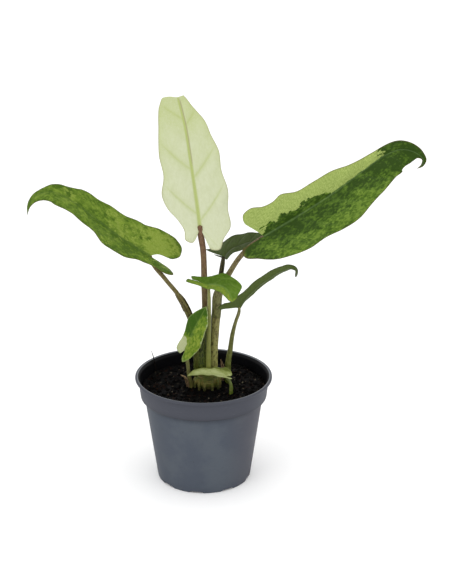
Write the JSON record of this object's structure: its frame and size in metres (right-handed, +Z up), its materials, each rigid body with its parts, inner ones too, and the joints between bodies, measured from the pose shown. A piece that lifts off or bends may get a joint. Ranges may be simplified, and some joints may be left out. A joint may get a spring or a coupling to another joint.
{
  "type": "potted variegated alocasia",
  "caption": "Young variegated elephant-ear plant with long arrow-shaped mottled and cream leaves on mottled stalks, in a tapered blue-grey plastic nursery pot.",
  "frame": {"origin": "middle of the underside of the pot's floor, on the surface the pot stands on", "axes": "+Z up along the pot's axis; +X to the right as the plant faces its front, which is -Y"},
  "size_m": [0.3303, 0.12, 0.3385],
  "materials": {
    "pot_plastic": "satin moulded polypropylene",
    "moist_peat": "moist crumbly peat with bark chips",
    "corm_flesh": "waxy olive skin",
    "dry_sheath": "papery and matt",
    "cream_leaf": "soft satin leaf skin",
    "cream_green_leaf": "soft satin leaf skin",
    "mottled_leaf": "soft satin leaf skin",
    "variegated_leaf": "soft satin leaf skin",
    "green_leaf": "soft satin leaf skin",
    "leaf_underside": "matt leaf underside",
    "brown_stalk": "smooth brown skin",
    "mottled_stalk": "smooth skin with brown flecks",
    "dark_stalk": "smooth dark skin",
    "pale_stalk": "smooth pale green skin"
  },
  "bodies": {
    "root": {"nursery_pot": "pot_plastic", "potting_soil": "moist_peat", "rootstock": "corm_flesh", "dry_sheath_left": "dry_sheath", "dry_sheath_right": "dry_sheath", "centre_leaf_blade": "cream_leaf", "cream_leaf_blade": "cream_green_leaf", "left_leaf_blade": "mottled_leaf", "right_leaf_blade": "variegated_leaf", "front_leaf_blade": "green_leaf", "low_leaf_blade": "green_leaf", "side_leaf_blade": "leaf_underside", "rear_leaf_blade": "leaf_underside", "centre_leaf_stalk": "brown_stalk", "left_leaf_stalk": "mottled_stalk", "right_leaf_stalk": "mottled_stalk", "rear_leaf_stalk": "dark_stalk", "front_leaf_stalk": "pale_stalk", "low_leaf_stalk": "pale_stalk", "cream_leaf_stalk": "pale_stalk", "side_leaf_stalk": "mottled_stalk"}
  },
  "joints": []
}
